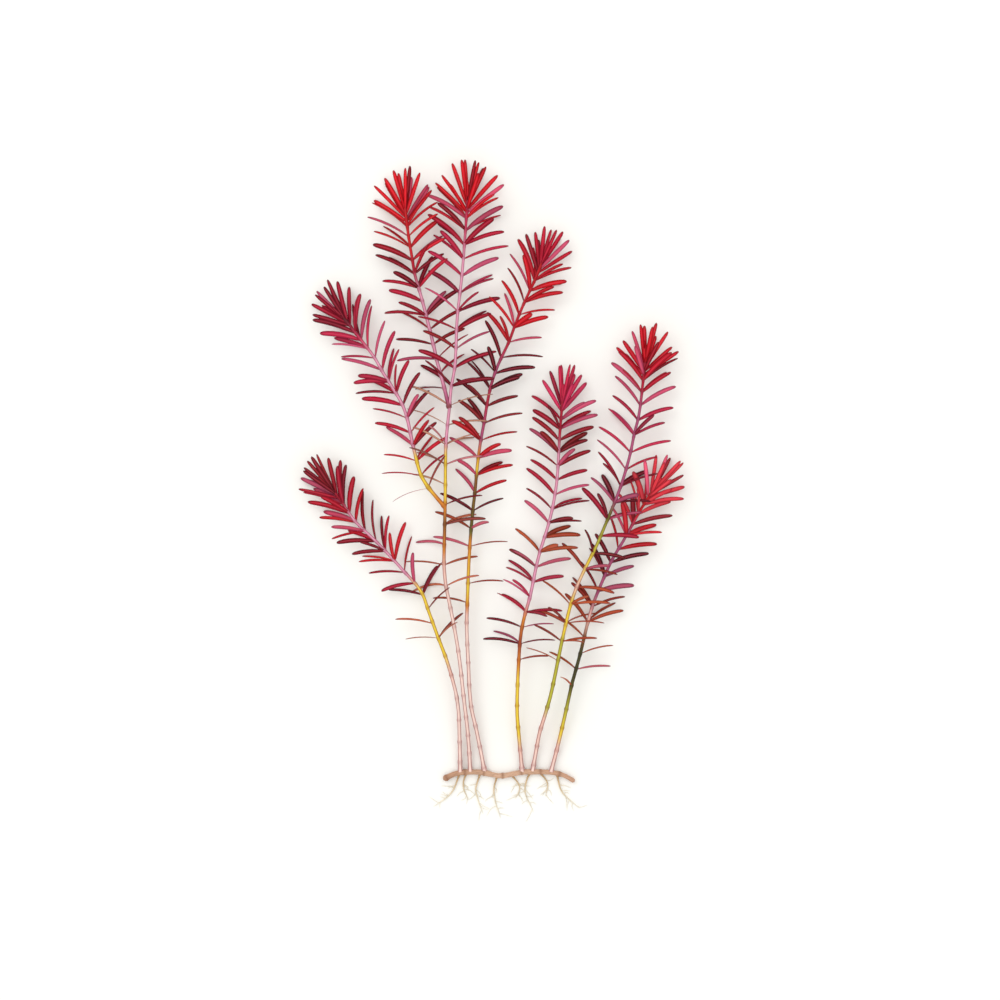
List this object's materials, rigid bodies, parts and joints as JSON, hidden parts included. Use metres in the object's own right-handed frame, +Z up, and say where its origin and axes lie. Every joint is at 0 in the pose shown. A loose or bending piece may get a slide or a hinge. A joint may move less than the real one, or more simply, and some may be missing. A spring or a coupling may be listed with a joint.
{
  "type": "rotala aquarium plant",
  "caption": "Rooted runner with slender leafy shoots fanning out from it, each ending in a crown of young red leaves, laid flat with all its roots.",
  "frame": {"origin": "middle of the plant's outline on the surface that it lies on", "axes": "+Y from the runner towards the growing tips, +Z up from the surface, +X to the right seen from above with the growing tips at the top"},
  "size_m": [0.1934, 0.331, 0.026],
  "materials": {
    "runner": "satin",
    "roots": "matte",
    "shoots": "satin"
  },
  "bodies": {
    "root": {"runner": "runner", "root_1": "roots", "root_2": "roots", "root_3": "roots", "root_4": "roots", "root_5": "roots", "root_6": "roots", "root_7": "roots", "root_8": "roots", "shoot_1": "shoots", "shoot_2": "shoots", "shoot_3": "shoots", "shoot_4": "shoots", "shoot_5": "shoots", "shoot_6": "shoots", "side_shoot_1": "shoots", "side_shoot_2": "shoots"}
  },
  "joints": []
}
